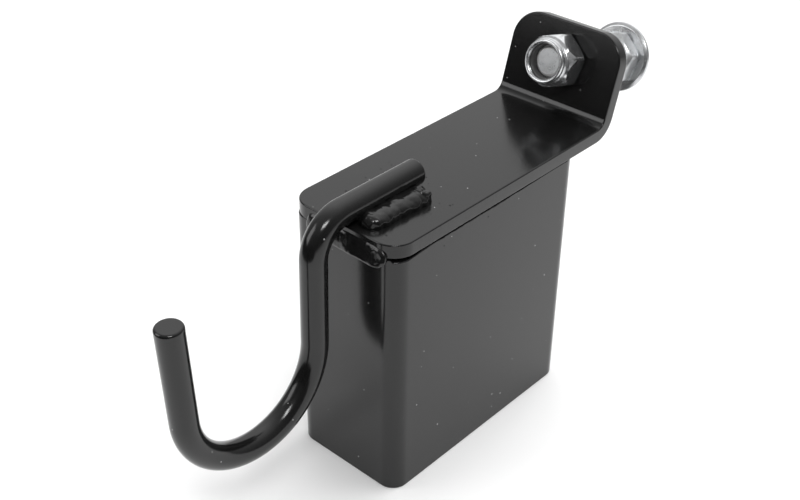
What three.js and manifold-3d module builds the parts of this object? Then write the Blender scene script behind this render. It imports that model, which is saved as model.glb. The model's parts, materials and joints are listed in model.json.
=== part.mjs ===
// Welded hook bracket: a rectangular steel tube capped by a flat bar, with a round-bar J hook welded on
// at the front and an adjustable headed stud in the leaning flange at the rear.
// Millimetres, +Z up, +X from the hook towards the stud, standing on the tube's open lower end.
import * as THREE from "three";
import { mergeVertices } from "three/addons/utils/BufferGeometryUtils.js";
import Module from "manifold-3d";

// ---------- driving dimensions ----------

const gap = 0.3; // left between welded, clamped or turned neighbours
const tube = { length: 98.5, width: 48.4, height: 100, wall: 3, cornerRadius: 6.4 };
const plate = {
  thickness: 5.3,
  sideLip: 0.3, // the cap is this much wider than the tube on each side
  frontLip: 0.5, // and this much longer at the front
  rearOverhang: 15, // from the tube's rear face to the inner bend line
  cornerRadius: 8.5,
};
const flange = {
  height: 33.4,
  lean: THREE.MathUtils.degToRad(16.5),
  bendRadius: 4.5,
  cornerRadius: 11.5,
};
const hook = {
  diameter: 9.5,
  rootGap: 0.1, // under the bar where it lies on the cap
  sideSet: -0.8, // welded this far off the cap's middle line
  bedLength: 36.2, // along the cap, behind its front edge
  reach: 13.9, // from the cap's front edge to the leg's centre line, where the J starts
  shoulderRadius: 13.1,
  legLean: THREE.MathUtils.degToRad(1.2),
  legDrop: 39.4, // from the cap's top face to the start of the J
  bowlRadius: 28.1,
  tipLean: THREE.MathUtils.degToRad(2.3),
  tipLength: 38,
};
const barWeld = { leg: 7, rise: 0.8, start: 2.8, length: 32, endRound: 0.85 };
const frontWeld = { rightEnd: 20.5, leftEnd: 15.5, throw: 1.7, topSet: 1.2, drop: 3.5 };
const rearWeld = { span: 34, leg: 5 };
const stud = {
  diameter: 12,
  tail: 9.2, // end of the thread, in front of the flange's face
  endChamfer: 1.6,
  height: 18.6, // above the inner bend line, along the flange
  holeClearance: 0.75,
  headDiameter: 27.8,
  headReach: 40.3, // from the flange's face to the underside of the head
  headEdge: 1.8,
  headBevel: 1.2,
  headCrown: 1.6,
};
const nut = { wall: 3.2, jamThickness: 7, faceShare: 0.92 }; // the wall is from the bore to a flat
const cornerTurn = { lockNut: 20, headNut: 17, flangeNut: 40 }; // degrees up from level, as tightened
const lockNut = {
  cornerHeight: 5.6, // where the crown starts to cut the hexagon's corners
  crownHeight: 9,
  height: 12.4,
  insertWall: 1.1,
  insertThickness: 3,
  collarWall: 0.8, // around the insert
  lipThickness: 1.2,
  lipClearance: 0.1, // more than the bore's
};
const roundSegments = 32;
const cornerSegments = 6;

// ---------- derived levels ----------

const capUnderside = tube.height + gap;
const capTop = capUnderside + plate.thickness;
const capWidth = tube.width + 2 * plate.sideLip;
const tubeFront = plate.frontLip;
const tubeRear = tubeFront + tube.length;
const bendLine = tubeRear + plate.rearOverhang;
const barRadius = hook.diameter / 2;
const barLevel = capTop + hook.rootGap + barRadius;
const flangeUp = new THREE.Vector3(Math.sin(flange.lean), 0, Math.cos(flange.lean));
const flangeRearward = new THREE.Vector3(Math.cos(flange.lean), 0, -Math.sin(flange.lean));
const studBore = stud.diameter / 2 + gap;
const nutFlat = studBore + nut.wall;

// ---------- materials ----------

const powderCoat = () => new THREE.MeshStandardMaterial({ color: 0x1d1e20, roughness: 0.42, metalness: 0.1 });
const weldCoat = () => new THREE.MeshStandardMaterial({ color: 0x18191b, roughness: 0.25, metalness: 0.1 });
const brightZinc = () => new THREE.MeshStandardMaterial({ color: 0xc9ccd1, roughness: 0.22, metalness: 1 });
const nylon = () => new THREE.MeshStandardMaterial({ color: 0xd9d9d3, roughness: 0.5, metalness: 0 });

// ---------- solids ----------

const wasm = await Module();
wasm.setup();

function solidFrom(geometry) {
  const bare = geometry.clone();
  bare.deleteAttribute("normal");
  bare.deleteAttribute("uv");
  const merged = mergeVertices(bare, 1e-4);
  const vertProperties = merged.getAttribute("position").array;
  const triVerts = new Uint32Array(merged.index.array);
  return new wasm.Manifold(new wasm.Mesh({ numProp: 3, vertProperties, triVerts }));
}

function geometryFrom(solid) {
  const { vertProperties, triVerts } = solid.getMesh();
  const geometry = new THREE.BufferGeometry();
  geometry.setAttribute("position", new THREE.BufferAttribute(vertProperties, 3));
  geometry.setIndex(new THREE.BufferAttribute(triVerts, 1));
  geometry.computeVertexNormals();
  return geometry;
}

function extrude(shape, depth, curveSegments = cornerSegments) {
  return new THREE.ExtrudeGeometry(shape, { depth, curveSegments, bevelEnabled: false });
}

// A rectangle about the origin, with one radius at its low-x corners and one at its high-x corners.
function roundedRectangle(length, width, lowRadius, highRadius) {
  const [x, y] = [length / 2, width / 2];
  const shape = new THREE.Shape();
  shape.moveTo(-x + lowRadius, -y);
  shape.lineTo(x - highRadius, -y);
  if (highRadius) shape.absarc(x - highRadius, -y + highRadius, highRadius, -Math.PI / 2, 0);
  shape.lineTo(x, y - highRadius);
  if (highRadius) shape.absarc(x - highRadius, y - highRadius, highRadius, 0, Math.PI / 2);
  shape.lineTo(-x + lowRadius, y);
  if (lowRadius) shape.absarc(-x + lowRadius, y - lowRadius, lowRadius, Math.PI / 2, Math.PI);
  shape.lineTo(-x, -y + lowRadius);
  if (lowRadius) shape.absarc(-x + lowRadius, -y + lowRadius, lowRadius, Math.PI, 1.5 * Math.PI);
  return shape;
}

// An outline in x and z, extruded over the given span about y = 0.
function extrudeAcross(shape, span) {
  return extrude(shape, span).rotateX(Math.PI / 2).translate(0, span / 2, 0);
}

function polygon(points) {
  return new THREE.Shape(points.map(([x, y]) => new THREE.Vector2(x, y)));
}

// Profile points are [radius, height]; the axis is y, and the outline closes on the axis or on itself.
function turned(points) {
  const outline = points.map(([radius, height]) => new THREE.Vector2(radius, height));
  return new THREE.LatheGeometry([...outline, outline[0].clone()], roundSegments);
}

function mesh(name, geometry, material) {
  const piece = new THREE.Mesh(geometry, material);
  piece.name = name;
  return piece;
}

// ---------- frame on the flange: y runs rearwards through the hole, z up the flange ----------

function flangeFrame() {
  const holeCentre = new THREE.Vector3(bendLine, 0, capTop).addScaledVector(flangeUp, stud.height);
  const turn = new THREE.Quaternion().setFromEuler(new THREE.Euler(0, flange.lean, -Math.PI / 2));
  return new THREE.Matrix4().compose(holeCentre, turn, new THREE.Vector3(1, 1, 1));
}

// ---------- tube and cap ----------

function stakeTube() {
  const outline = roundedRectangle(tube.length, tube.width, tube.cornerRadius, tube.cornerRadius);
  const innerRadius = Math.max(tube.cornerRadius - tube.wall, 0.5);
  const [innerLength, innerWidth] = [tube.length - 2 * tube.wall, tube.width - 2 * tube.wall];
  outline.holes.push(roundedRectangle(innerLength, innerWidth, innerRadius, innerRadius));
  const body = extrude(outline, tube.height).translate(tubeFront + tube.length / 2, 0, 0);
  return mesh("stake_tube", body, powderCoat());
}

// Side view of the flat bar, bent up at the rear.
function capProfile() {
  const tangent = flange.bendRadius * Math.tan((Math.PI / 2 - flange.lean) / 2);
  const [bendX, bendZ] = [bendLine - tangent, capTop + flange.bendRadius];
  const front = new THREE.Vector3(bendLine, 0, capTop).addScaledVector(flangeUp, flange.height);
  const back = front.clone().addScaledVector(flangeRearward, plate.thickness);
  const shape = new THREE.Shape();
  shape.moveTo(0, capUnderside);
  shape.lineTo(bendX, capUnderside);
  shape.absarc(bendX, bendZ, flange.bendRadius + plate.thickness, -Math.PI / 2, -flange.lean, false);
  shape.lineTo(back.x, back.z);
  shape.lineTo(front.x, front.z);
  const innerStart = new THREE.Vector3(bendLine, 0, capTop).addScaledVector(flangeUp, tangent);
  shape.lineTo(innerStart.x, innerStart.z);
  shape.absarc(bendX, bendZ, flange.bendRadius, -flange.lean, -Math.PI / 2, true);
  shape.lineTo(0, capTop);
  return shape;
}

function topPlate() {
  const reach = bendLine + flange.height + plate.thickness;
  const tall = capTop + flange.height + plate.thickness;
  const plan = roundedRectangle(2 * reach, capWidth, plate.cornerRadius, 0);
  const planCut = extrude(plan, tall).translate(reach, 0, 0);
  const face = roundedRectangle(4 * flange.height, capWidth, 0, flange.cornerRadius);
  const faceTop = flange.height - stud.height;
  const faceCut = extrude(face, 2 * reach)
    .translate(faceTop - 2 * flange.height, 0, -reach)
    .rotateX(-Math.PI / 2)
    .rotateY(-Math.PI / 2);
  const hole = new THREE.CylinderGeometry(1, 1, 4 * plate.thickness, roundSegments);
  const holeRadius = stud.diameter / 2 + stud.holeClearance;
  hole.scale(holeRadius, 1, holeRadius);
  const bent = solidFrom(extrudeAcross(capProfile(), capWidth))
    .intersect(solidFrom(planCut))
    .intersect(solidFrom(faceCut.applyMatrix4(flangeFrame())))
    .subtract(solidFrom(hole.applyMatrix4(flangeFrame())));
  return mesh("top_plate", geometryFrom(bent), powderCoat());
}

// ---------- hook ----------

class PlaneArc extends THREE.Curve {
  constructor(centreX, centreZ, radius, from, to) {
    super();
    Object.assign(this, { centreX, centreZ, radius, from, to });
  }

  getPoint(t, target = new THREE.Vector3()) {
    const angle = this.from + (this.to - this.from) * t;
    const [x, z] = [Math.cos(angle), Math.sin(angle)].map((part) => part * this.radius);
    return target.set(this.centreX + x, 0, this.centreZ + z);
  }
}

// Centre line: forwards along the cap, over the shoulder, down the leg, round the bowl and up the tip.
function hookLine() {
  const { shoulderRadius, bowlRadius, legLean, tipLean } = hook;
  const bowlStart = new THREE.Vector3(-hook.reach, 0, capTop - hook.legDrop);
  const bowlX = bowlStart.x - bowlRadius * Math.cos(legLean);
  const bowlZ = bowlStart.z + bowlRadius * Math.sin(legLean);
  const bowl = new PlaneArc(bowlX, bowlZ, bowlRadius, -legLean, tipLean - Math.PI);
  const shoulderZ = barLevel - shoulderRadius;
  const legRise = shoulderZ + shoulderRadius * Math.sin(legLean) - bowlStart.z;
  const shoulderX = bowlStart.x + legRise * Math.tan(legLean) + shoulderRadius * Math.cos(legLean);
  const shoulder = new PlaneArc(shoulderX, shoulderZ, shoulderRadius, Math.PI / 2, Math.PI - legLean);
  const bedEnd = new THREE.Vector3(hook.bedLength, 0, barLevel);
  const tipStart = bowl.getPoint(1);
  const tipRise = new THREE.Vector3(-Math.sin(tipLean), 0, Math.cos(tipLean));
  const line = new THREE.CurvePath();
  line.add(new THREE.LineCurve3(bedEnd, shoulder.getPoint(0)));
  line.add(shoulder);
  line.add(new THREE.LineCurve3(shoulder.getPoint(1), bowlStart));
  line.add(bowl);
  line.add(new THREE.LineCurve3(tipStart, tipStart.clone().addScaledVector(tipRise, hook.tipLength)));
  return line;
}

function hookRod() {
  const section = new THREE.Shape().absarc(0, 0, barRadius, 0, 2 * Math.PI);
  const line = hookLine();
  const steps = Math.round(line.getLength() / (hook.diameter / 3));
  const bar = new THREE.ExtrudeGeometry(section, { steps, curveSegments: 9, extrudePath: line });
  return mesh("hook_rod", bar, powderCoat());
}

// Fillet along one side of the bar where it lies on the cap; side is -1 or +1 in y.
function barWeldBead(name, side) {
  const foot = capTop + gap;
  const shoulder = barLevel + barWeld.rise;
  const toe = barRadius + barWeld.leg;
  const section = polygon([
    [0, foot],
    [toe, foot],
    [toe - 0.15 * barWeld.leg, foot + 0.25 * barWeld.leg],
    [barRadius + 0.35 * barWeld.leg, foot + 0.5 * barWeld.leg],
    [barRadius + gap, shoulder],
    [0, shoulder],
  ]);
  const run = extrude(section, barWeld.length).rotateX(Math.PI / 2).rotateZ(Math.PI / 2);
  const ends = roundedRectangle(barWeld.length, 2 * toe, barWeld.endRound * toe, barWeld.endRound * toe);
  const plan = extrude(ends, 4 * barRadius).translate(barWeld.length / 2, 0, capTop - barRadius);
  const bar = new THREE.CylinderGeometry(1, 1, 3 * barWeld.length, roundSegments).rotateZ(Math.PI / 2);
  bar.scale(1, barRadius + gap, barRadius + gap).translate(0, 0, barLevel);
  const bead = geometryFrom(solidFrom(run).intersect(solidFrom(plan)).subtract(solidFrom(bar)));
  if (side < 0) bead.rotateZ(Math.PI).translate(barWeld.length, 0, 0);
  bead.translate(barWeld.start, 0, 0);
  return mesh(name, bead, weldCoat());
}

function hookGroup() {
  const group = new THREE.Group();
  group.position.y = hook.sideSet;
  group.add(hookRod(), barWeldBead("hook_weld_right", -1), barWeldBead("hook_weld_left", 1));
  return group;
}

// ---------- welds between tube and cap ----------

function tubeWeldFront() {
  const tubeSide = tubeFront - gap;
  const section = polygon([
    [-gap, capTop - frontWeld.topSet],
    [-0.8 * frontWeld.throw, capTop - 2 * frontWeld.topSet],
    [-frontWeld.throw, capUnderside],
    [-0.6 * frontWeld.throw, tube.height - 0.6 * frontWeld.drop],
    [tubeSide, tube.height - frontWeld.drop],
    [tubeSide, capUnderside - gap],
    [-gap, capUnderside - gap],
  ]);
  const span = frontWeld.rightEnd + frontWeld.leftEnd;
  const bead = extrudeAcross(section, span).translate(0, frontWeld.leftEnd - span / 2, 0);
  return mesh("tube_weld_front", bead, weldCoat());
}

function tubeWeldRear() {
  const [x, z] = [tubeRear + gap, capUnderside - gap];
  const section = polygon([
    [x, z - rearWeld.leg],
    [x + 0.55 * rearWeld.leg, z - 0.6 * rearWeld.leg],
    [x + rearWeld.leg, z],
    [x, z],
  ]);
  return mesh("tube_weld_rear", extrudeAcross(section, rearWeld.span), weldCoat());
}

// ---------- stud and nuts, in the flange's frame ----------

function headedBolt() {
  const radius = stud.diameter / 2;
  const head = stud.headDiameter / 2;
  const bolt = turned([
    [0, -stud.tail],
    [radius - stud.endChamfer, -stud.tail],
    [radius, stud.endChamfer - stud.tail],
    [radius, stud.headReach],
    [head - stud.headBevel, stud.headReach],
    [head, stud.headReach + stud.headBevel / 2],
    [head, stud.headReach + stud.headEdge],
    [0.75 * head, stud.headReach + stud.headEdge + 0.7 * stud.headCrown],
    [0, stud.headReach + stud.headEdge + stud.headCrown],
  ]);
  return mesh("headed_bolt", bolt, brightZinc());
}

// One corner of the hexagon stands at the given angle above level; the outer profile rounds the corners.
function hexNut(height, degrees, outerProfile, boreProfile) {
  const corner = (2 * nutFlat) / Math.sqrt(3);
  const start = Math.PI / 2 - THREE.MathUtils.degToRad(degrees);
  const hexagon = new THREE.CylinderGeometry(corner, corner, height, 6, 1, false, start);
  hexagon.translate(0, height / 2, 0);
  return geometryFrom(
    solidFrom(hexagon).intersect(solidFrom(turned(outerProfile))).subtract(solidFrom(turned(boreProfile))),
  );
}

const nutFace = nut.faceShare * nutFlat;
const nutCorner = (2 * nutFlat) / Math.sqrt(3) + 0.1;
const nutChamfer = nutCorner - nutFace;

function jamNut(name, nearFace, degrees) {
  const height = nut.jamThickness;
  const outer = [
    [0, 0],
    [nutFace, 0],
    [nutCorner, nutChamfer],
    [nutCorner, height - nutChamfer],
    [nutFace, height],
    [0, height],
  ];
  const bore = [
    [0, -1],
    [studBore, -1],
    [studBore, height + 1],
    [0, height + 1],
  ];
  return mesh(name, hexNut(height, degrees, outer, bore).translate(0, nearFace, 0), brightZinc());
}

// Built from its bearing face upwards, then turned so that the collar faces forwards.
function lockNutBody() {
  const pocket = studBore + lockNut.insertWall;
  const collar = pocket + lockNut.collarWall;
  const outer = [
    [0, 0],
    [nutFace, 0],
    [nutCorner, nutChamfer],
    [nutCorner, lockNut.cornerHeight],
    [nutFlat, lockNut.crownHeight],
    [collar + 0.4, (lockNut.crownHeight + lockNut.height) / 2],
    [collar, lockNut.height - 0.5],
    [collar - 0.5, lockNut.height],
    [0, lockNut.height],
  ];
  const lip = studBore + lockNut.lipClearance;
  const pocketTop = lockNut.height - lockNut.lipThickness;
  const pocketFloor = pocketTop - lockNut.insertThickness - gap;
  const bore = [
    [0, -1],
    [studBore, -1],
    [studBore, pocketFloor],
    [pocket, pocketFloor],
    [pocket, pocketTop],
    [lip, pocketTop],
    [lip, lockNut.height + 1],
    [0, lockNut.height + 1],
  ];
  const body = hexNut(lockNut.height, -cornerTurn.lockNut, outer, bore).rotateX(Math.PI);
  body.translate(0, -gap, 0);
  return mesh("lock_nut", body, brightZinc());
}

function nylonInsert() {
  const top = lockNut.height - lockNut.lipThickness - gap / 2;
  const bottom = top - lockNut.insertThickness;
  const ring = turned([
    [studBore, bottom],
    [studBore + lockNut.insertWall - gap / 2, bottom],
    [studBore + lockNut.insertWall - gap / 2, top],
    [studBore, top],
  ]);
  return mesh("nylon_insert", ring.rotateX(Math.PI).translate(0, -gap, 0), nylon());
}

function studGroup() {
  const group = new THREE.Group();
  flangeFrame().decompose(group.position, group.quaternion, group.scale);
  group.add(
    headedBolt(),
    jamNut("head_jam_nut", stud.headReach - gap - nut.jamThickness, cornerTurn.headNut),
    jamNut("flange_jam_nut", plate.thickness + gap, cornerTurn.flangeNut),
    lockNutBody(),
    nylonInsert(),
  );
  return group;
}

// ---------- assembly ----------

const bracket = new THREE.Group();
bracket.add(
  stakeTube(),
  topPlate(),
  hookGroup(),
  tubeWeldFront(),
  tubeWeldRear(),
  studGroup(),
);

// The origin goes under the middle of the whole bracket, level with the tube's lower end.
const extent = new THREE.Box3().setFromObject(bracket, true);
bracket.position.set(-(extent.min.x + extent.max.x) / 2, 0, -extent.min.z);
const model = new THREE.Group();
model.add(bracket);

export default model;
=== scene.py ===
"""Looks of a welded hook bracket: black powder-coated steel, weld beads and a zinc-plated adjuster."""
import json
import math

import bmesh
import bpy
import numpy as np
from mathutils import Matrix, Vector, noise


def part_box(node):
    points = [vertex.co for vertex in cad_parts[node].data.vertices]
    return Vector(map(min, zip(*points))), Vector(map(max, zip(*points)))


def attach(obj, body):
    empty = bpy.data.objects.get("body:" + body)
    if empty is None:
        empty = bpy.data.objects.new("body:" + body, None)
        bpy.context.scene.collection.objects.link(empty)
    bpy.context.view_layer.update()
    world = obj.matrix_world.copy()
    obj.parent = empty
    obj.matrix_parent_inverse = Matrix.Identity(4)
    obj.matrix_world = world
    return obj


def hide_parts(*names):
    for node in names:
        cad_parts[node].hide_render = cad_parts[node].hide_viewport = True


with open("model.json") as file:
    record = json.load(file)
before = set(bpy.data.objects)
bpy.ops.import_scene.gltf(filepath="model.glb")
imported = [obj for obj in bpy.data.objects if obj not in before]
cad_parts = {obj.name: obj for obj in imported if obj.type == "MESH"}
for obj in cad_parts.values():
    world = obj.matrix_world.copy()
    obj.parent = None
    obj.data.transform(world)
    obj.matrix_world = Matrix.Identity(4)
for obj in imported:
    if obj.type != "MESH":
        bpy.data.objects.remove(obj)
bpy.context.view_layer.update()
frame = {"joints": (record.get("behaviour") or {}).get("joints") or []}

# ---------- sizes, in metres ----------

MM = 0.001
TUBE_WALL = 3 * MM
TUBE_CORNER = 6.4 * MM
RIM = 0.4 * MM  # rounding on the tube's cut ends
BAR = 5.3 * MM  # thickness of the flat bar
BAR_EDGE = 0.55 * MM  # softened edge of the flat bar
CAP_CORNER = 8.5 * MM
FLANGE_CORNER = 11.5 * MM
BEND_RADIUS = 4.5 * MM
BOLT_HOLE = 13.5 * MM
ROD = 9.5 * MM  # thickness of the hook's round bar
SHOULDER_RADIUS = 13.1 * MM
BOWL_RADIUS = 28.1 * MM
LEG_LEAN = math.radians(1.2)
TIP_LEAN = math.radians(2.3)
TIP_LENGTH = 38 * MM
LEG_REACH = 13.9 * MM  # from the cap's front edge to the leg's centre line, where the J starts
LEG_DROP = 39.4 * MM  # from the cap's top to the start of the J
ROD_CHAMFER = 1.1 * MM  # rounding on the rod's cut ends
THREAD = 12 * MM
THREAD_PITCH = 1.75 * MM
THREAD_TAIL = 9.2 * MM  # end of the thread, in front of the flange
HEAD = 27.8 * MM  # the stud head's diameter
HEAD_REACH = 40.3 * MM  # from the flange's front face to the head's underside
NUT_FLATS = 19 * MM
NUT_BORE = 12.3 * MM
JAM_NUT = 7 * MM  # height of a plain nut
LOCK_NUT = 12.4 * MM  # height of the lock nut with its collar
CLEARANCE = 0.3 * MM  # gap between a nut and the face it is tight on
RING_PITCH = 0.42 * MM  # between tool rings on a turned face
CORNER_STEPS = 16  # points on a rounded corner of the cap
RIM_STEPS = 4  # points on a small rounding

tube_low, tube_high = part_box("stake_tube")
cap_low, cap_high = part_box("top_plate")
rod_low, rod_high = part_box("hook_rod")
joints = {joint["name"]: joint for joint in frame["joints"]}
REARWARD = -Vector(joints["stud_travel"]["axis"])
HOLE = Vector(joints["lock_nut_turn"]["pos_m"])
FLANGE_UP = Vector((-REARWARD.z, 0, REARWARD.x))
LEAN = math.asin(FLANGE_UP.x)
CAP_TOP = cap_low.z + BAR
ROD_Y = (rod_low.y + rod_high.y) / 2
FRONT = cap_low.x

# ---------- node graphs written as expressions ----------


class Link:
    """An output socket that takes part in arithmetic: each operator adds a Math node."""

    def __init__(self, graph, socket):
        self.graph = graph
        self.socket = socket

    def other(self, name):
        """Another output of the same node."""
        return Link(self.graph, self.socket.node.outputs[name])

    def __add__(self, value):
        return self.graph.math("ADD", self, value)

    def __sub__(self, value):
        return self.graph.math("SUBTRACT", self, value)

    def __rsub__(self, value):
        return self.graph.math("SUBTRACT", value, self)

    def __mul__(self, value):
        return self.graph.math("MULTIPLY", self, value)

    def __truediv__(self, value):
        return self.graph.math("DIVIDE", self, value)

    __radd__ = __add__
    __rmul__ = __mul__


class Graph:
    """A shader or geometry tree; every node comes from the one method below."""

    def __init__(self, tree):
        self.tree = tree

    def node(self, kind, settings=None, sockets=None, output=0):
        made = self.tree.nodes.new(kind)
        for name, value in (settings or {}).items():
            if name == "stops":
                set_stops(made.color_ramp, value)
            else:
                setattr(made, name, value)
        self.feed(made, sockets or {})
        return Link(self, made.outputs[output]) if made.outputs else made

    def feed(self, node, sockets):
        for key, value in sockets.items():
            if isinstance(value, Link):
                self.tree.links.new(value.socket, node.inputs[key])
            else:
                node.inputs[key].default_value = value

    def math(self, operation, first, second=0.0):
        return self.node("ShaderNodeMath", {"operation": operation}, {0: first, 1: second})

    def vector(self, operation, first, second, output=0):
        sockets = {0: first, 1: second}
        return self.node("ShaderNodeVectorMath", {"operation": operation}, sockets, output)

    def mix(self, factor, first, second):
        colours = {0: factor, 6: first, 7: second}
        return self.node("ShaderNodeMix", {"data_type": "RGBA"}, colours, output=2)

    def ramp(self, value, *stops):
        return self.node("ShaderNodeValToRGB", {"stops": stops}, {0: value})

    def noise(self, position, scale, detail=2.0, roughness=0.5):
        sockets = {"Vector": position, "Scale": scale, "Detail": detail, "Roughness": roughness}
        return self.node("ShaderNodeTexNoise", None, sockets)


def set_stops(ramp, stops):
    while len(ramp.elements) < len(stops):
        ramp.elements.new(1.0)
    for element, (place, level) in zip(ramp.elements, stops):
        element.position = place
        element.color = (level, level, level, 1.0)


def grey(level):
    return (level, level, level, 1.0)


# ---------- finishes ----------


def new_finish(name, constants, varying=None):
    """A Principled material: constants sit on its sockets, and varying(graph, position) links the rest."""
    made = bpy.data.materials.new(name)
    made.use_nodes = True
    graph = Graph(made.node_tree)
    shader = made.node_tree.nodes["Principled BSDF"]
    graph.feed(shader, constants)
    if varying:
        position = graph.node("ShaderNodeTexCoord", output="Object")
        graph.feed(shader, varying(graph, position))
    return made


def bump(graph, height, depth):
    return graph.node("ShaderNodeBump", None, {"Strength": 1.0, "Distance": depth, "Height": height})


def nibs(graph, position):
    """Rare dust nibs caught in the coating: small round specks of uneven size."""
    cells = graph.node("ShaderNodeTexVoronoi", None, {"Vector": position, "Scale": 190.0})
    size = graph.noise(position, 60.0, 0.0) * 0.07
    return graph.ramp(cells.other("Distance") - size, (0.0, 1.0), (0.015, 0.0))


def powder_coat(name, striations=0.0):
    """Black coating with fine orange peel and dust nibs; striations are the shear marks it covers."""

    def varying(graph, position):
        peel = graph.noise(position, 1100.0, 3.0, 0.6)
        grain = graph.noise(position, 4200.0, 2.0, 0.7)
        cloud = graph.noise(position, 38.0, 3.0, 0.55)
        speck = nibs(graph, position)
        body = graph.mix(cloud, grey(0.004), grey(0.008))
        height = peel * 0.7 + grain * 0.45 + speck * 1.5
        if striations:
            stretched = graph.node("ShaderNodeMapping", None, {"Vector": position, "Scale": (1, 1, 0.06)})
            height = height + graph.noise(stretched, 900.0, 3.0, 0.7) * striations
        return {
            "Base Color": graph.mix(speck, body, grey(0.38)),
            "Roughness": 0.07 + peel * 0.07 + grain * 0.06 + cloud * 0.05,
            "Normal": bump(graph, height, 0.014 * MM),
        }

    return new_finish(name, {"IOR": 1.47}, varying)


def weld_coat():
    """The same coating where it lies thick and glossy over the beads."""

    def varying(graph, position):
        lumps = graph.noise(position, 420.0, 2.0, 0.5)
        scale = graph.noise(position, 2600.0, 2.0, 0.6)
        return {
            "Base Color": graph.mix(lumps, grey(0.004), grey(0.009)),
            "Roughness": 0.1 + scale * 0.14,
            "Normal": bump(graph, lumps + scale * 0.1, 0.05 * MM),
        }

    return new_finish("weld_powder_coat", {"IOR": 1.5}, varying)


def distance_from_axis(graph, position):
    """How far a point lies from the stud's axis."""
    offset = graph.vector("SUBTRACT", position, HOLE)
    turn = Matrix((Vector((0, 1, 0)), FLANGE_UP, REARWARD)).to_euler()
    local = graph.node("ShaderNodeVectorRotate", {"rotation_type": "EULER_XYZ"}, {0: offset, 4: turn})
    flat = graph.vector("MULTIPLY", local, (1, 1, 0))
    return graph.node("ShaderNodeVectorMath", {"operation": "LENGTH"}, {0: flat}, output="Value")


def bright_zinc(name, rings=0.0, roughness=0.2, metallic=0.97):
    """Plated steel: clouded brightness, fine grit and, on turned faces, tool rings about the stud."""

    def varying(graph, position):
        cloud = graph.noise(position, 260.0, 3.0, 0.6)
        grit = graph.noise(position, 5200.0, 2.0, 0.7)
        stain = graph.ramp(graph.noise(position, 700.0, 2.0, 0.6), (0.5, 0.0), (0.72, 1.0))
        height = grit * 0.2 + cloud * 0.2
        if rings:
            radius = distance_from_axis(graph, position)
            height = height + graph.math("SINE", radius * (2 * math.pi / RING_PITCH)) * rings
        tint = graph.mix(cloud, (0.58, 0.59, 0.6, 1), (0.72, 0.73, 0.74, 1))
        return {
            "Base Color": graph.mix(stain * 0.2, tint, (0.3, 0.31, 0.33, 1)),
            "Roughness": roughness + cloud * 0.1 + grit * 0.08,
            "Normal": bump(graph, height, 0.02 * MM),
        }

    return new_finish(name, {"Metallic": metallic, "IOR": 1.6}, varying)


def nylon():
    """The dull plastic of the lock nut's ring, its colour darkened to a painted shade for the shadow inside
    the collar.
    """

    def varying(graph, position):
        cloud = graph.noise(position, 500.0, 2.0, 0.5)
        return {
            # painted shade: the base colour is kept near black for the shadow the ring lies in, inside the
            # collar
            "Base Color": graph.mix(cloud, grey(0.05), grey(0.09)),
            "Roughness": 0.28 + cloud * 0.15,
            "Normal": bump(graph, cloud, 0.03 * MM),
        }

    return new_finish("nylon_ring_painted_shade", {"IOR": 1.53}, varying)


COATED = powder_coat("satin_powder_coat")
SHEARED = powder_coat("powder_coat_on_sheared_edge", striations=1.6)
WELDED = weld_coat()
ZINC = bright_zinc("bright_zinc")
TURNED_ZINC = bright_zinc("turned_bright_zinc", rings=0.14, roughness=0.16)
CUT_ZINC = bright_zinc("zinc_on_cut_end", roughness=0.42, metallic=0.1)
NYLON_DARKENED_FOR_SHADE = nylon()

# ---------- meshes ----------


def new_piece(name, bm):
    """A mesh piece from a bmesh: outward faces, smooth where the angles are small."""
    bmesh.ops.remove_doubles(bm, verts=bm.verts, dist=0.001 * MM)
    if bm.calc_volume(signed=True) < 0:
        bmesh.ops.reverse_faces(bm, faces=bm.faces)
    mesh = bpy.data.meshes.new(name)
    bm.to_mesh(mesh)
    bm.free()
    return show(name, mesh)


def show(name, mesh, crease=32):
    """Puts a mesh in the scene, with edges sharper than the crease angle, in degrees, left sharp."""
    mesh.shade_smooth()
    mesh.set_sharp_from_angle(angle=math.radians(crease))
    piece = bpy.data.objects.new(name, mesh)
    bpy.context.scene.collection.objects.link(piece)
    return piece


def wrap(rows, caps=False):
    """A bmesh from rows of points: each row closes on itself, and the last on the first, or both get caps."""
    bm = bmesh.new()
    grid = [[bm.verts.new(point) for point in row] for row in rows]
    bands = list(zip(grid, grid[1:] if caps else grid[1:] + grid[:1]))
    for lower, upper in bands:
        for i in range(len(lower)):
            bm.faces.new((lower[i - 1], lower[i], upper[i], upper[i - 1]))
    if caps:
        bm.faces.new(grid[0])
        bm.faces.new(grid[-1])
    return bm


def dress(piece, body, slot, finish, *nodes):
    """Gives a piece its finish and body, and lets it stand for its CAD nodes; the slot argument is not used.
    """
    if not piece.data.materials:
        piece.data.materials.append(finish)
    normals = piece.modifiers.new("even_normals", "WEIGHTED_NORMAL")
    normals.keep_sharp = True
    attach(piece, body)
    if nodes:
        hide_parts(*nodes)


def arc(centre, radius, start, end, steps):
    """Points on an arc from start to end, in degrees."""
    angles = np.radians(np.linspace(start, end, steps + 1))
    return [(centre[0] + radius * math.cos(a), centre[1] + radius * math.sin(a)) for a in angles]


# ---------- tube ----------


def tube_outline(inset, steps=12, spacing=1.2 * MM):
    """The tube's outline moved inwards; it has the same count of points for any inset."""
    half_x = (tube_high.x - tube_low.x) / 2 - TUBE_CORNER
    half_y = (tube_high.y - tube_low.y) / 2 - TUBE_CORNER
    radius = TUBE_CORNER - inset
    centres = [(half_x, -half_y), (half_x, half_y), (-half_x, half_y), (-half_x, -half_y)]
    turns = (-90, 0, 90, 180)
    corners = [arc(place, radius, turn, turn + 90, steps) for place, turn in zip(centres, turns)]
    outline = []
    for corner, following in zip(corners, corners[1:] + corners[:1]):
        start, end = Vector(corner[-1]), Vector(following[0])
        count = round((end - start).length / spacing)
        outline += [Vector(point) for point in corner]
        outline += [start.lerp(end, i / count) for i in range(1, count)]
    return outline


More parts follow.
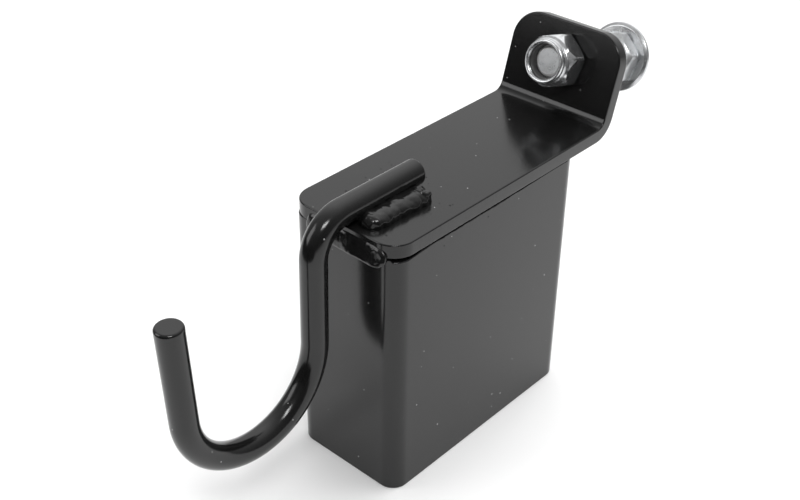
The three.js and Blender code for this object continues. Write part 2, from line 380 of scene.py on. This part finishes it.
def cut_depth(x, y):
    """How far the sawn end falls on the right side: most near the front; at the rear it rises to the cap."""
    along = x - tube_low.x
    if y > tube_low.y + TUBE_CORNER or along < 1 * MM:
        return 0.0
    coarse = noise.noise(Vector((x, y, 0)) / (4.5 * MM)) * 0.3
    fine = noise.noise(Vector((x, 0, y)) / (1.6 * MM)) * 0.2
    deepest, width, usual, rise = 5 * MM, 6 * MM, 0.3, 0.22
    crescent = 0.75 * math.exp(-(((along - deepest) / width) ** 2))
    closed, closing = 84 * MM, 34 * MM
    fade = min(max((closed - along) / closing, 0), 1)
    return (crescent + (usual + (coarse + fine)) * fade - rise * (1 - fade)) * MM


def make_tube():
    middle = (tube_low + tube_high) / 2
    length = tube_high.z - tube_low.z
    wall = arc((RIM, RIM), RIM, 270, 180, RIM_STEPS)
    wall += arc((RIM, length - RIM), RIM, 180, 90, RIM_STEPS)
    wall += arc((TUBE_WALL - RIM, length - RIM), RIM, 90, 0, RIM_STEPS)
    wall += arc((TUBE_WALL - RIM, RIM), RIM, 0, -90, RIM_STEPS)
    rows = []
    for inset, height in wall:
        row = []
        for point in tube_outline(inset):
            x, y = middle.x + point.x, middle.y + point.y
            drop = cut_depth(x, y) if height > length / 2 else 0
            row.append((x, y, tube_low.z + height - drop))
        rows.append(row)
    dress(new_piece("coated_tube", wrap(rows)), "bracket", "powder_coat", COATED, "stake_tube")


# ---------- cap and flange, made as a drilled blank that is then bent ----------

BEND_ANGLE = math.pi / 2 - LEAN
SETBACK = BEND_RADIUS * math.tan(BEND_ANGLE / 2)
HOLE_UP = (HOLE.z - CAP_TOP) / math.cos(LEAN)  # from the inner bend line up the flange
BEND_LINE = HOLE.x - HOLE_UP * math.sin(LEAN)
FLANGE_HEIGHT = (cap_high.z - CAP_TOP) / math.cos(LEAN)
BEND_START = BEND_LINE - SETBACK - FRONT  # distances along the blank, from its front edge
BEND_ALLOWANCE = (BEND_RADIUS + BAR / 2) * BEND_ANGLE
BEND_END = BEND_START + BEND_ALLOWANCE
BLANK_LENGTH = BEND_END + FLANGE_HEIGHT - SETBACK
BEND_STEPS = 14


def blank_outline():
    half = (cap_high.y - cap_low.y) / 2
    front, top = CAP_CORNER, FLANGE_CORNER
    return (
        arc((BLANK_LENGTH - top, half - top), top, 0, 90, CORNER_STEPS)
        + arc((front, half - front), front, 90, 180, CORNER_STEPS)
        + arc((front, front - half), front, 180, 270, CORNER_STEPS)
        + arc((BLANK_LENGTH - top, top - half), top, 270, 360, CORNER_STEPS)
    )


def bent(point):
    """Where a point of the flat blank goes when the bar is bent; depth is 0 on top and negative below."""
    along, across, depth = point
    if along <= BEND_START:
        return Vector((FRONT + along, across, CAP_TOP + depth))
    turn = min((along - BEND_START) / BEND_ALLOWANCE, 1) * BEND_ANGLE
    radius = BEND_RADIUS - depth
    x = FRONT + BEND_START + radius * math.sin(turn)
    z = CAP_TOP + BEND_RADIUS - radius * math.cos(turn)
    beyond = max(along - BEND_END, 0)
    return Vector((x, across, z)) + beyond * FLANGE_UP


def drill(bm, centre, radius):
    """Opens a round hole on the middle line, in the face whose own centre is nearest the given one."""
    face = min(bm.faces, key=lambda item: abs(item.calc_center_median().x - centre))
    edges = face.edges[:]
    bmesh.ops.delete(bm, geom=[face], context="FACES_ONLY")
    rim = [bm.verts.new((x, y, 0)) for x, y in arc((centre, 0), radius, 0, 360, 48)[:-1]]
    edges += [bm.edges.new((rim[i - 1], rim[i])) for i in range(len(rim))]
    bmesh.ops.triangle_fill(bm, use_beauty=True, use_dissolve=False, edges=edges)


def make_cap():
    bm = bmesh.new()
    bm.faces.new([bm.verts.new((x, y, 0)) for x, y in blank_outline()])
    for step in range(BEND_STEPS + 1):
        cut = BEND_START + BEND_ALLOWANCE * step / BEND_STEPS
        geometry = bm.verts[:] + bm.edges[:] + bm.faces[:]
        bmesh.ops.bisect_plane(bm, geom=geometry, plane_co=(cut, 0, 0), plane_no=(1, 0, 0))
    drill(bm, BEND_END + HOLE_UP - SETBACK, BOLT_HOLE / 2)
    extruded = bmesh.ops.extrude_face_region(bm, geom=bm.faces[:])
    for vert in (item for item in extruded["geom"] if isinstance(item, bmesh.types.BMVert)):
        vert.co.z = -BAR
    bmesh.ops.recalc_face_normals(bm, faces=bm.faces)
    rims = [edge for edge in bm.edges if edge.calc_face_angle(0) > 1]
    bmesh.ops.bevel(bm, geom=rims, offset=BAR_EDGE, segments=4, profile=0.5, affect="EDGES")
    for vert in bm.verts:
        vert.co = bent(vert.co)
    piece = new_piece("coated_cap", bm)
    piece.data.materials.append(COATED)
    piece.data.materials.append(SHEARED)
    for face in piece.data.polygons:
        on_front_or_side = abs(face.normal.y) > 0.5 or face.normal.x < -0.9
        face.material_index = int(on_front_or_side and face.center.x < BEND_LINE)
    dress(piece, "bracket", "powder_coat", COATED, "top_plate")


# ---------- geometry node tools ----------


def node_tool(name, inputs, build):
    """A geometry tree with named inputs; build(graph, given) makes its shape, which then gets its finish."""
    tree = bpy.data.node_groups.new(name, "GeometryNodeTree")
    tree.interface.new_socket("Geometry", in_out="OUTPUT", socket_type="NodeSocketGeometry")
    tree.interface.new_socket("Geometry", in_out="INPUT", socket_type="NodeSocketGeometry")
    for label, kind in inputs.items():
        tree.interface.new_socket(label, in_out="INPUT", socket_type=kind)
    graph = Graph(tree)
    given = graph.node("NodeGroupInput")
    shape = graph.node("GeometryNodeRealizeInstances", None, {0: build(graph, given)})
    coat = {"Geometry": shape, "Material": given.other("Finish")}
    finished = graph.node("GeometryNodeSetMaterial", None, coat)
    graph.node("NodeGroupOutput", None, {0: finished})
    return tree


def run_tool(name, tool, source, values, crease=32):
    """Runs a geometry tree on a curve or mesh and keeps the result as a plain mesh piece."""
    carrier = bpy.data.objects.new(name + "_source", source)
    bpy.context.scene.collection.objects.link(carrier)
    modifier = carrier.modifiers.new(tool.name, "NODES")
    modifier.node_group = tool
    for item in tool.interface.items_tree:
        if item.in_out == "INPUT" and item.name in values:
            modifier[item.identifier] = values[item.name]
    depsgraph = bpy.context.evaluated_depsgraph_get()
    mesh = bpy.data.meshes.new_from_object(carrier.evaluated_get(depsgraph), depsgraph=depsgraph)
    carrier.modifiers.remove(modifier)
    bpy.data.objects.remove(carrier)
    mesh.name = name
    return show(name, mesh, crease)


FLOAT, WHOLE, VECTOR = "NodeSocketFloat", "NodeSocketInt", "NodeSocketVector"
FINISH = "NodeSocketMaterial"


def curve_through(points, shares):
    """A path; at each point the section swept along it has the given share of its full size."""
    curve = bpy.data.curves.new("path", "CURVE")
    curve.dimensions = "3D"
    spline = curve.splines.new("POLY")
    spline.points.add(len(points) - 1)
    for knot, point, share in zip(spline.points, points, shares):
        knot.co = (*point, 1)
        knot.radius = share
    return curve


# ---------- hook rod ----------


def build_round_bar(graph, given):
    """A round section swept along the path, with flat ends."""
    circle = {"Resolution": given.other("Sides"), "Radius": given.other("Diameter") / 2}
    section = graph.node("GeometryNodeCurvePrimitiveCircle", None, circle)
    taper = graph.node("GeometryNodeInputRadius")
    sockets = {"Curve": given, "Profile Curve": section, "Scale": taper, "Fill Caps": True}
    return graph.node("GeometryNodeCurveToMesh", None, sockets)


def hook_line():
    """Centre line of the rod: along the cap, over the shoulder, down the leg, round the bowl, up the tip."""
    level = rod_high.z - ROD / 2
    bowl_start = Vector((FRONT - LEG_REACH, ROD_Y, CAP_TOP - LEG_DROP))
    leg_rise = level - SHOULDER_RADIUS * (1 - math.sin(LEG_LEAN)) - bowl_start.z
    shoulder_x = bowl_start.x + leg_rise * math.tan(LEG_LEAN) + SHOULDER_RADIUS * math.cos(LEG_LEAN)
    bowl_x = bowl_start.x - BOWL_RADIUS * math.cos(LEG_LEAN)
    bowl_z = bowl_start.z + BOWL_RADIUS * math.sin(LEG_LEAN)
    lean, tip = math.degrees(LEG_LEAN), math.degrees(TIP_LEAN)
    line = [(rod_high.x, level)]
    shoulder = (shoulder_x, level - SHOULDER_RADIUS)
    line += arc(shoulder, SHOULDER_RADIUS, 90, 180 - lean, steps=30)
    line += arc((bowl_x, bowl_z), BOWL_RADIUS, -lean, tip - 180, steps=72)
    end = Vector(line[-1]) + TIP_LENGTH * Vector((-math.sin(TIP_LEAN), math.cos(TIP_LEAN)))
    line.append(tuple(end))
    return [Vector((x, ROD_Y, z)) for x, z in line]


def soften_ends(line, radius, steps=5):
    """Rounds the cut ends: points near both ends, and each point's share of the full section."""
    ends = []
    for end, following in ((line[0], line[1]), (line[-1], line[-2])):
        inward = (following - end).normalized()
        points, shares = [], []
        for i in range(steps + 1):
            angle = math.pi / 2 * i / steps
            points.append(end + inward * ROD_CHAMFER * (1 - math.cos(angle)))
            shares.append(1 - ROD_CHAMFER * (1 - math.sin(angle)) / radius)
        ends.append((points, shares))
    (first, first_shares), (last, last_shares) = ends
    middle = line[1:-1]
    return first + middle + last[::-1], first_shares + [1] * len(middle) + last_shares[::-1]


def make_hook():
    inputs = {"Diameter": FLOAT, "Sides": WHOLE, "Finish": FINISH}
    tool = node_tool("bent_round_bar", inputs, build_round_bar)
    points, shares = soften_ends(hook_line(), ROD / 2)
    values = {"Diameter": ROD, "Sides": 64, "Finish": COATED}
    rod = run_tool("coated_hook", tool, curve_through(points, shares), values, crease=40)
    dress(rod, "bracket", "powder_coat", COATED, "hook_rod")


# ---------- weld beads ----------


def bead_section(graph, given, place):
    """A unit circle squeezed to the bead's width and height, squared or pointed by a power, and leaned."""
    unit = graph.node("GeometryNodeCurvePrimitiveCircle", None, {"Resolution": 56, "Radius": 1.0})
    corner = graph.node("ShaderNodeSeparateXYZ", None, {0: place})
    flat = []
    for axis, size in (("X", "Width"), ("Y", "Height")):
        value = corner.other(axis)
        reach = graph.math("POWER", graph.math("ABSOLUTE", value), given.other("Squareness"))
        flat.append(reach * graph.math("SIGN", value) * given.other(size) / 2)
    squared = graph.node("ShaderNodeCombineXYZ", None, {0: flat[0], 1: flat[1]})
    section = graph.node("GeometryNodeSetPosition", None, {"Geometry": unit, "Position": squared})
    turn = graph.node("ShaderNodeCombineXYZ", None, {2: given.other("Lean")})
    return graph.node("GeometryNodeTransform", None, {"Geometry": section, "Rotation": turn})


def build_bead(graph, given):
    """A section swept along the path, then pushed out of true by ripples, lumps and the end crater."""
    place = graph.node("GeometryNodeInputPosition")
    section = bead_section(graph, given, place)
    spacing = {"Curve": given, "Length": given.other("Step")}
    line = graph.node("GeometryNodeResampleCurve", {"mode": "LENGTH"}, spacing)
    taper = graph.node("GeometryNodeInputRadius")
    sockets = {"Curve": line, "Profile Curve": section, "Scale": taper, "Fill Caps": True}
    skin = graph.node("GeometryNodeCurveToMesh", None, sockets)
    along = graph.vector("DOT_PRODUCT", place, given.other("Direction"), "Value")
    waver = graph.noise(place, 150.0, 1.0) - 0.5
    beat = (along / given.other("Ripple") + waver * 1.6) * (2 * math.pi)
    ripple = graph.math("POWER", graph.math("ABSOLUTE", graph.math("SINE", beat / 2)), 0.6)
    lumps = graph.noise(place, 230.0, 1.5) - 0.5
    fine = graph.noise(place, 900.0, 2.0) - 0.5
    push = lumps * given.other("Lumps") + ripple * given.other("Ripple Height")
    push = push + fine * given.other("Ragged") - given.other("Ripple Height")
    push = push + crater_push(graph, given, place)
    normal = graph.node("GeometryNodeInputNormal")
    shift = graph.node("ShaderNodeVectorMath", {"operation": "SCALE"}, {0: normal, "Scale": push})
    return graph.node("GeometryNodeSetPosition", None, {"Geometry": skin, "Offset": shift})


def crater_push(graph, given, place):
    """Two rings about a hollow, where the arc was stopped."""
    away = graph.vector("DISTANCE", place, given.other("Crater"), "Value")
    reach = away / given.other("Crater Radius")
    hollow = graph.math("MAXIMUM", 1 - reach * reach, 0.0)
    outer, inner = reach - 1.1, reach - 0.55
    outer_ring = graph.math("MAXIMUM", 1 - outer * outer * 20, 0.0)
    inner_ring = graph.math("MAXIMUM", 1 - inner * inner * 60, 0.0)
    return (outer_ring * 0.35 + inner_ring * 0.2 - hollow) * given.other("Crater Depth")


BEAD_INPUTS = {
    "Width": FLOAT,
    "Height": FLOAT,
    "Squareness": FLOAT,
    "Lean": FLOAT,
    "Step": FLOAT,
    "Direction": VECTOR,
    "Ripple": FLOAT,
    "Ripple Height": FLOAT,
    "Lumps": FLOAT,
    "Ragged": FLOAT,
    "Crater": VECTOR,
    "Crater Radius": FLOAT,
    "Crater Depth": FLOAT,
    "Finish": FINISH,
}
BEAD_USUAL = {
    "Squareness": 0.85,
    "Step": 0.2 * MM,
    "Ripple": 4.6 * MM,
    "Ripple Height": 0.2 * MM,
    "Lumps": 1.7 * MM,
    "Ragged": 0.16 * MM,
    "Crater Radius": 2.6 * MM,
    "Crater Depth": 1.4 * MM,
    "Finish": WELDED,
}


def bead_path(start, end, start_round, end_round, steps=80):
    """A straight path whose section swells from a point at each end, over the given lengths."""
    start, end = Vector(start), Vector(end)
    length = (end - start).length
    points, shares = [], []
    for i in range(steps + 1):
        along = length * (0.5 - 0.5 * math.cos(math.pi * i / steps))
        first = min(along / start_round, 1)
        last = min((length - along) / end_round, 1)
        points.append(start.lerp(end, along / length))
        swell = math.sqrt(1 - (1 - first) ** 2) * math.sqrt(1 - (1 - last) ** 2)
        shares.append(max(swell, 0.02))
    return curve_through(points, shares)


def make_bead(tool, name, node, path, values):
    bead = run_tool(name, tool, path, BEAD_USUAL | values, crease=80)
    dress(bead, "bracket", "weld_coat", WELDED, node)


def make_bar_beads(tool):
    """The right bead is the fuller one; the left one lies lower, in the lee of the bar."""
    foot = CAP_TOP + 0.2 * MM
    start, end = FRONT + 2.9 * MM, FRONT + 32.4 * MM
    kinds = {
        "right": (-1, 6.7 * MM, 11.4 * MM, 8 * MM, 16),
        "left": (1, 6 * MM, 7.2 * MM, 5.6 * MM, 28),
    }
    for name, (side, offset, width, height, lean) in kinds.items():
        y = ROD_Y + side * offset
        first, last = (start, y - side * 0.8 * MM, foot), (end, y + side * 0.4 * MM, foot)
        path = bead_path(first, last, start_round=4 * MM, end_round=2.6 * MM)
        crater = (FRONT + 29.5 * MM, y + side * 2 * MM, foot + 2.6 * MM)
        values = {"Width": width, "Height": height, "Lean": math.radians(side * lean)}
        values |= {"Direction": (1, 0, 0), "Crater": crater}
        make_bead(tool, f"{name}_hook_bead", f"hook_weld_{name}", path, values)


def make_tube_beads(tool):
    """The front bead is flat and smooth; the rear one fills the corner under the cap."""
    low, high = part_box("tube_weld_front")
    x, z = low.x + 1.55 * MM, (low.z + high.z) / 2
    first, last = (x, low.y, z - 0.4 * MM), (x, high.y, z)
    path = bead_path(first, last, start_round=5 * MM, end_round=3 * MM)
    values = {"Width": 2.6 * MM, "Height": 7.6 * MM, "Squareness": 0.65, "Lean": math.radians(15)}
    values |= {"Direction": (0, 1, 0), "Ripple": 9 * MM, "Ripple Height": 0.1 * MM, "Lumps": 0.45 * MM}
    values |= {"Crater": (low.x, low.y + 4 * MM, z - 0.5 * MM), "Crater Depth": 0.25 * MM}
    make_bead(tool, "front_tube_bead", "tube_weld_front", path, values)
    low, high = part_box("tube_weld_rear")
    x, z = low.x + 0.2 * MM, high.z - 0.2 * MM
    path = bead_path((x, low.y, z), (x, high.y, z), start_round=3 * MM, end_round=4 * MM)
    values = {"Width": 8 * MM, "Height": 8 * MM, "Lean": math.radians(45), "Direction": (0, 1, 0)}
    values |= {"Lumps": 0.8 * MM, "Crater": (x + 3 * MM, high.y - 4 * MM, z - 3 * MM)}
    make_bead(tool, "rear_tube_bead", "tube_weld_rear", path, values)


def make_welds():
    tool = node_tool("weld_bead", BEAD_INPUTS, build_bead)
    make_bar_beads(tool)
    make_tube_beads(tool)


def build_spatter(graph, given):
    """Small balls of uneven size, scattered on the mesh."""
    seed = given.other("Seed")
    scatter = {"Mesh": given, "Density": given.other("Density"), "Seed": seed}
    spots = graph.node("GeometryNodeDistributePointsOnFaces", None, scatter)
    round_drop = {"Radius": given.other("Largest"), "Subdivisions": 2}
    ball = graph.node("GeometryNodeMeshIcoSphere", None, round_drop)
    limits = {2: 0.25, 3: 1.0, "Seed": seed}
    share = graph.node("FunctionNodeRandomValue", {"data_type": "FLOAT"}, limits, 1)
    placed = {"Points": spots, "Instance": ball, "Scale": share}
    return graph.node("GeometryNodeInstanceOnPoints", None, placed)


def make_spatter():
    """Fine weld spatter under the coating, beside the bar's weld and below the cap's right edge."""
    inputs = {"Density": FLOAT, "Largest": FLOAT, "Seed": WHOLE, "Finish": FINISH}
    tool = node_tool("weld_spatter", inputs, build_spatter)
    on_cap = ((4, -21), (44, -21), (44, 16), (4, 16))  # mm from the front edge and from the middle
    on_side = ((12, 6), (70, 4), (70, 0.8), (12, 0.8))  # mm from the front edge and below the tube's end
    points = [(FRONT + x * MM, y * MM, CAP_TOP) for x, y in on_cap]
    points += [(FRONT + x * MM, tube_low.y, tube_high.z - z * MM) for x, z in on_side]
    sheet = bpy.data.meshes.new("spatter_zone")
    sheet.from_pydata(points, [], [(0, 1, 2, 3), (4, 5, 6, 7)])
    values = {"Density": 15000.0, "Largest": 0.3 * MM, "Seed": 4, "Finish": COATED}
    spatter = run_tool("weld_spatter", tool, sheet, values)
    dress(spatter, "bracket", "weld_coat", COATED)


# ---------- stud and nuts, about the stud's axis ----------

STUD_TURN = Matrix((Vector((0, 1, 0)), FLANGE_UP, REARWARD)).transposed()
ON_FLANGE = Matrix.Translation(HOLE) @ STUD_TURN.to_4x4()  # z runs rearward from the flange's front face
AROUND = np.radians(np.arange(0, 360, 3))
CHAMFER_ANGLE = math.radians(33)
CORNER_CUT = 0.18 * MM  # how much a nut's corners are cut short
BORE_LEAD = 0.6 * MM  # chamfer at the mouth of a nut's bore
ROWS_PER_TURN = 14  # rows of points on each turn of the thread


def turned_rows(profile):
    """Rows of points about the stud's axis from (radius, reach) pairs; either may have a value per angle."""
    rows = []
    for radius, reach in profile:
        radii = np.broadcast_to(radius, AROUND.shape)
        reaches = np.broadcast_to(reach, AROUND.shape)
        points = zip(radii * np.cos(AROUND), radii * np.sin(AROUND), reaches)
        rows.append([ON_FLANGE @ Vector(point) for point in points])
    return rows


def hexagon(turn):
    """Radius of the hexagon at each angle, its corners cut short; one corner stands at turn, in degrees."""
    off_flat = (AROUND - math.radians(turn)) % (math.pi / 3) - math.pi / 6
    sharp = NUT_FLATS / 2 / np.cos(off_flat)
    return np.minimum(sharp, NUT_FLATS / math.sqrt(3) - CORNER_CUT)


def chamfered(hexed, near, far):
    """Flats of a hexagon nut between two turned faces; the chamfers leave the curved lines on them."""
    face = 0.475 * NUT_FLATS
    fall = (hexed - face) * math.tan(CHAMFER_ANGLE)
    sign = 1 if far > near else -1
    return [(face, near), (hexed, near + sign * fall), (hexed, far - sign * fall), (face, far)]


def make_jam_nut(name, near, turn, body, node):
    """A plain hexagon nut whose front face is at the given reach."""
    far = near + JAM_NUT
    bore = NUT_BORE / 2
    profile = chamfered(hexagon(turn), near, far)
    profile += [(bore + BORE_LEAD, far), (bore, far - BORE_LEAD)]
    profile += [(bore, near + BORE_LEAD), (bore + BORE_LEAD, near)]
    nut = new_piece(name, wrap(turned_rows(profile)))
    dress(nut, body, "bright_zinc", ZINC, node)


def make_lock_nut():
    """Hexagon with a domed crown and a rolled collar that holds the nylon ring."""
    near = -CLEARANCE
    hexed = hexagon(turn=40)
    chamfer = chamfered(hexed, near, near - JAM_NUT)[:2]
    corner, flat = NUT_FLATS / math.sqrt(3), NUT_FLATS / 2
    low, knee = near - 5.4 * MM, near - 9 * MM
    crown = knee + (hexed - flat) * (low - knee) / (corner - flat)
    tip = near - LOCK_NUT
    profile = chamfer + [(hexed, crown), (flat - 0.1 * MM, knee)]
    # the collar's crimped neck: radius and distance past the knee, in mm
    crimp = ((8.75, 0.3), (8.4, 0.55), (8.7, 0.9), (8.72, 1.3), (8.4, 1.65))
    profile += [(radius * MM, knee - past * MM) for radius, past in crimp]
    collar, roll = 8.4 * MM, 0.85 * MM
    profile += arc((collar - roll, tip + roll), roll, 0, -180, steps=14)
    pocket, mouth, floor = 7.3 * MM, tip + 1.3 * MM, tip + 4.6 * MM
    bore = NUT_BORE / 2
    profile += [(pocket, mouth), (pocket, floor), (bore, floor)]
    profile += [(bore, near - BORE_LEAD), (bore + BORE_LEAD, near)]
    nut = new_piece("zinc_lock_nut", wrap(turned_rows(profile)))
    dress(nut, "lock_nut_unit", "bright_zinc", TURNED_ZINC, "lock_nut")
    make_nylon_ring(bore, tip + 1.5 * MM, tip + 4.4 * MM)


def make_nylon_ring(inner, front, back):
    outer, edge = 7.2 * MM, 0.3 * MM
    ring = arc((inner + edge, front + edge), edge, 180, 270, RIM_STEPS)
    ring += arc((outer - edge, front + edge), edge, 270, 360, RIM_STEPS)
    ring += [(outer, back), (inner, back)]
    # the ring's finish is darkened as painted shade for the shadow inside the collar
    insert = new_piece("nylon_ring_painted_shade", wrap(turned_rows(ring)))
    dress(insert, "lock_nut_unit", "nylon", NYLON_DARKENED_FOR_SHADE, "nylon_insert")


def build_thread(graph, given):
    """A capped cylinder whose side is pushed in to a helical groove, and tapered at its leading end."""
    pitch, length, radius = given.other("Pitch"), given.other("Length"), given.other("Radius")
    rows = graph.math("ROUND", length / pitch * ROWS_PER_TURN)
    size = {"Vertices": 60, "Side Segments": rows, "Radius": radius, "Depth": length}
    blank = graph.node("GeometryNodeMeshCylinder", {"fill_type": "NGON"}, size)
    place = graph.node("GeometryNodeInputPosition")
    parts = graph.node("ShaderNodeSeparateXYZ", None, {0: place})
    x, y, z = (parts.other(axis) for axis in "XYZ")
    angle = graph.math("ARCTAN2", y, x)
    phase = graph.math("FRACT", z / pitch - angle / (2 * math.pi) + 100.0)
    flank = graph.math("ABSOLUTE", phase - 0.5) * 2
    crest, slope = 0.14, 0.6
    groove = graph.math("MINIMUM", graph.math("MAXIMUM", (flank - crest) / slope, 0.0), 1.0)
    threaded = radius - groove * given.other("Depth")
    lead = z + length / 2 + radius - given.other("Chamfer")
    share = graph.math("MINIMUM", threaded, lead) / radius
    moved = graph.node("ShaderNodeCombineXYZ", None, {0: x * share, 1: y * share, 2: z})
    return graph.node("GeometryNodeSetPosition", None, {"Geometry": blank, "Position": moved})


def make_shank():
    """The threaded part, which runs a little way into the head."""
    labels = dict.fromkeys(("Radius", "Pitch", "Depth", "Length", "Chamfer"), FLOAT)
    tool = node_tool("screw_thread", labels | {"Finish": FINISH}, build_thread)
    length = THREAD_TAIL + HEAD_REACH + 0.4 * MM
    values = {"Radius": THREAD / 2, "Pitch": THREAD_PITCH, "Depth": 0.6 * THREAD_PITCH}
    values |= {"Length": length, "Chamfer": 1.3 * MM, "Finish": ZINC}
    shank = run_tool("threaded_stud", tool, bpy.data.meshes.new("stud_seed"), values, crease=50)
    shank.data.transform(ON_FLANGE @ Matrix.Translation((0, 0, length / 2 - THREAD_TAIL)))
    shank.data.materials.append(CUT_ZINC)
    for face in shank.data.polygons:
        face.material_index = int(len(face.vertices) > 4)  # the end faces
    dress(shank, "stud_unit", "bright_zinc", ZINC, "headed_bolt")


def make_head():
    """A thin round head with a bevelled underside and a low dome."""
    radius, near = HEAD / 2, HEAD_REACH
    profile = [(0.4 * MM, near), (radius - 1.5 * MM, near), (radius - 1.2 * MM, near + 0.05 * MM)]
    profile += [(radius - 0.25 * MM, near + 0.6 * MM)]
    edge, edge_height, dome = 0.45 * MM, 1.8 * MM, 1.6 * MM
    profile += arc((radius - edge, near + edge_height - edge), edge, 0, 60, RIM_STEPS)
    for share in (0.9, 0.75, 0.55, 0.3, 0.03):
        profile.append((radius * share, near + edge_height + dome * (1 - share**2)))
    head = new_piece("round_stud_head", wrap(turned_rows(profile), caps=True))
    dress(head, "stud_unit", "bright_zinc", TURNED_ZINC, "headed_bolt")


def make_adjuster():
    make_shank()
    make_head()
    make_lock_nut()
    behind_flange, under_head = BAR + CLEARANCE, HEAD_REACH - CLEARANCE - JAM_NUT
    make_jam_nut("zinc_flange_nut", behind_flange, 20, "flange_nut", "flange_jam_nut")
    make_jam_nut("zinc_head_nut", under_head, 43, "stud_unit", "head_jam_nut")


# ---------- stage ----------


def softbox(name, place, target, size, power):
    data = bpy.data.lights.new(name, "AREA")
    data.shape = "RECTANGLE"
    data.size, data.size_y = size
    data.energy = power
    light = bpy.data.objects.new(name, data)
    light.location = place
    light.rotation_mode = "QUATERNION"
    light.rotation_quaternion = (Vector(target) - light.location).to_track_quat("-Z", "Y")
    bpy.context.scene.collection.objects.link(light)
    return light


def make_floor():
    bm = bmesh.new()
    bmesh.ops.create_grid(bm, x_segments=1, y_segments=1, size=6)
    mesh = bpy.data.meshes.new("floor")
    bm.to_mesh(mesh)
    bm.free()
    floor = bpy.data.objects.new("floor", mesh)
    bpy.context.scene.collection.objects.link(floor)
    mesh.materials.append(new_finish("pale_floor", {"Base Color": grey(0.9), "Roughness": 0.9}))


def make_camera():
    """Looks down on the bracket from the front right."""
    yaw, pitch, roll = math.radians(42.04), math.radians(33.58), math.radians(0.62)
    forward = Vector((math.cos(yaw) * math.cos(pitch), math.sin(yaw) * math.cos(pitch), -math.sin(pitch)))
    level = Vector((math.sin(yaw), -math.cos(yaw), 0))
    above = level.cross(forward)
    right = math.cos(roll) * level + math.sin(roll) * above
    up = math.cos(roll) * above - math.sin(roll) * level
    data = bpy.data.cameras.new("camera")
    data.sensor_width = 36
    data.lens = 55.2
    data.clip_start = 10 * MM
    camera = bpy.data.objects.new("camera", data)
    place = Vector((FRONT - 237.4 * MM, -240.4 * MM, CAP_TOP + 213.8 * MM))
    camera.matrix_world = Matrix.Translation(place) @ Matrix((right, up, -forward)).transposed().to_4x4()
    bpy.context.scene.collection.objects.link(camera)
    bpy.context.scene.camera = camera


def make_sky():
    """Studio dome: bright overhead, rearward and to the left, dimmer low down, frontward and to the right."""
    world = bpy.data.worlds.new("studio")
    world.use_nodes = True
    graph = Graph(world.node_tree)
    parts = graph.node("ShaderNodeSeparateXYZ", None, {0: graph.node("ShaderNodeTexCoord")})
    rise = ((0.0, 0.3), (0.25, 0.42), (0.55, 0.55), (0.8, 0.8), (1.0, 0.9))
    height = graph.ramp(parts.other("Z"), *rise)
    rearward = graph.ramp(parts.other("X") * 0.5 + 0.5, (0.05, 0.2), (0.42, 0.4), (0.66, 1.0))
    leftward = graph.ramp(parts.other("Y") * 0.5 + 0.5, (0.1, 0.3), (0.45, 0.75), (0.7, 1.0))
    backdrop = world.node_tree.nodes["Background"]
    graph.feed(backdrop, {"Color": height * rearward * leftward, "Strength": 2.1})
    bpy.context.scene.world = world


def dark_flag(name, low, high):
    """A dark upright card in front of the bracket, reaching to its left; only reflections see it."""
    mesh = bpy.data.meshes.new(name)
    points = [low, (high[0], high[1], low[2]), high, (low[0], low[1], high[2])]
    mesh.from_pydata(points, [], [(0, 1, 2, 3)])
    flag = bpy.data.objects.new(name, mesh)
    bpy.context.scene.collection.objects.link(flag)
    mesh.materials.append(new_finish("black_card", {"Base Color": grey(0.01), "Roughness": 1.0}))
    flag.visible_camera = False
    flag.visible_diffuse = False
    flag.visible_shadow = False


def make_light():
    make_sky()
    middle, flange = (0, 0, 0.07), (0.05, 0, 0.12)
    softbox("key", (-0.45, -0.5, 0.95), middle, size=(0.35, 0.22), power=4)
    fill = softbox("overhead", (0.45, -0.15, 1.1), middle, size=(0.9, 0.9), power=8.5)
    fill.visible_glossy = False  # it would draw a streak along the rod
    softbox("left", (-0.62, 0.5, 0.5), flange, size=(0.4, 0.5), power=1.7)
    dark_flag("left_flag", low=(-0.36, -0.3, 0), high=(-0.28, 0.9, 0.165))
    bpy.context.scene.view_settings.view_transform = "Standard"


make_camera()
make_tube()
make_cap()
make_hook()
make_welds()
make_spatter()
make_adjuster()
make_floor()
make_light()
